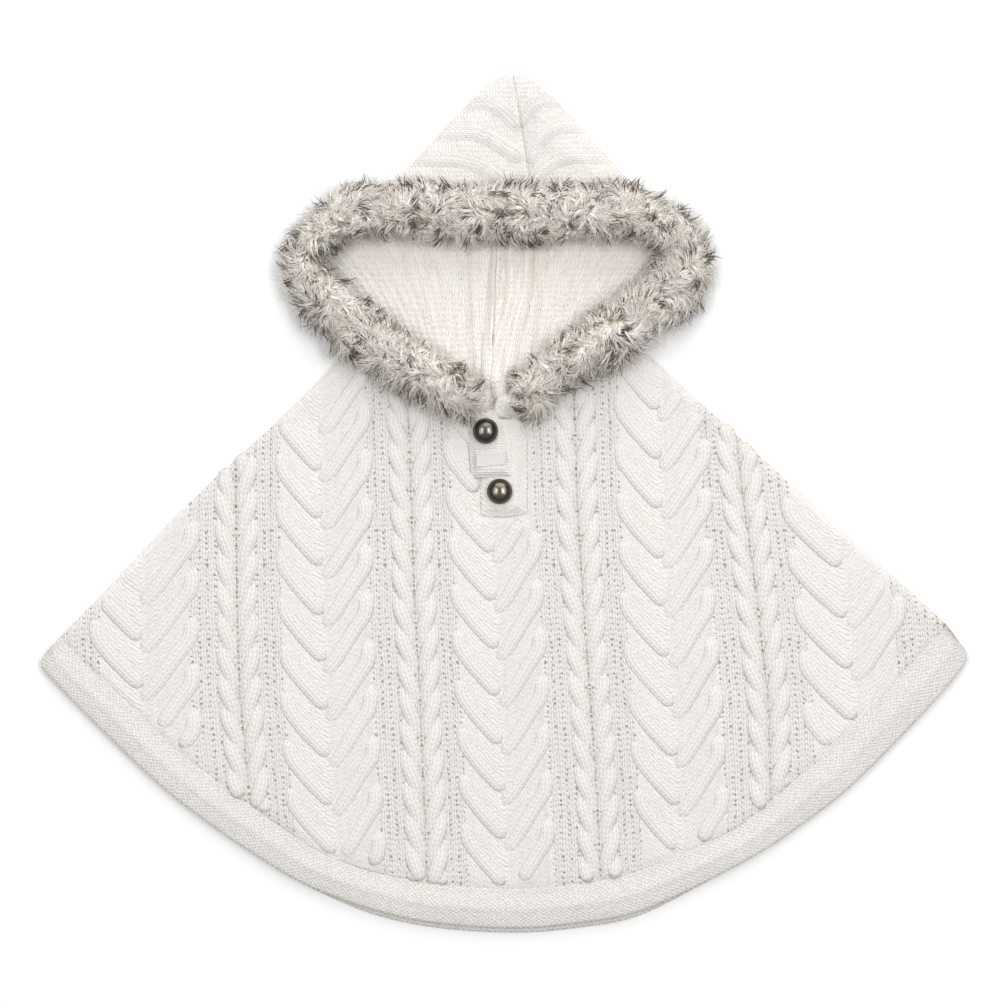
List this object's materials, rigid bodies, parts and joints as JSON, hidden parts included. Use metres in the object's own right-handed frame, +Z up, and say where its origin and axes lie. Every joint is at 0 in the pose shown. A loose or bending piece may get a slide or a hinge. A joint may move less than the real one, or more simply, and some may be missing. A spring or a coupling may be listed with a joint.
{
  "type": "hooded cape",
  "caption": "Cream cable-knit hooded cape laid flat, with a fur-trimmed hood, buttoned placket and moss-stitch hem.",
  "frame": {"origin": "on the surface under the cape, at the middle of its bounding box", "axes": "+X across the cape to its wearer's left, +Y from the hem to the hood's peak, +Z up from the surface"},
  "size_m": [0.7407, 0.6875, 0.0367],
  "materials": {
    "cream_knit": "soft cable-knit yarn",
    "hem_knit": "dense moss-stitch knit",
    "hood_knit": "soft ribbed and cabled knit",
    "frosted_fur": "curly synthetic fur with dark tips",
    "woven_tape": "plain woven tape",
    "gunmetal": "polished dark gunmetal"
  },
  "bodies": {
    "root": {"body_back": "cream_knit", "body_front": "cream_knit", "hem_band_back": "hem_knit", "hem_band_front": "hem_knit", "hood_left": "hood_knit", "hood_right": "hood_knit", "fur_trim_left": "frosted_fur", "fur_trim_right": "frosted_fur", "placket_under": "cream_knit", "placket_over": "cream_knit", "label": "woven_tape", "button_upper": "gunmetal", "button_lower": "gunmetal"}
  },
  "joints": []
}
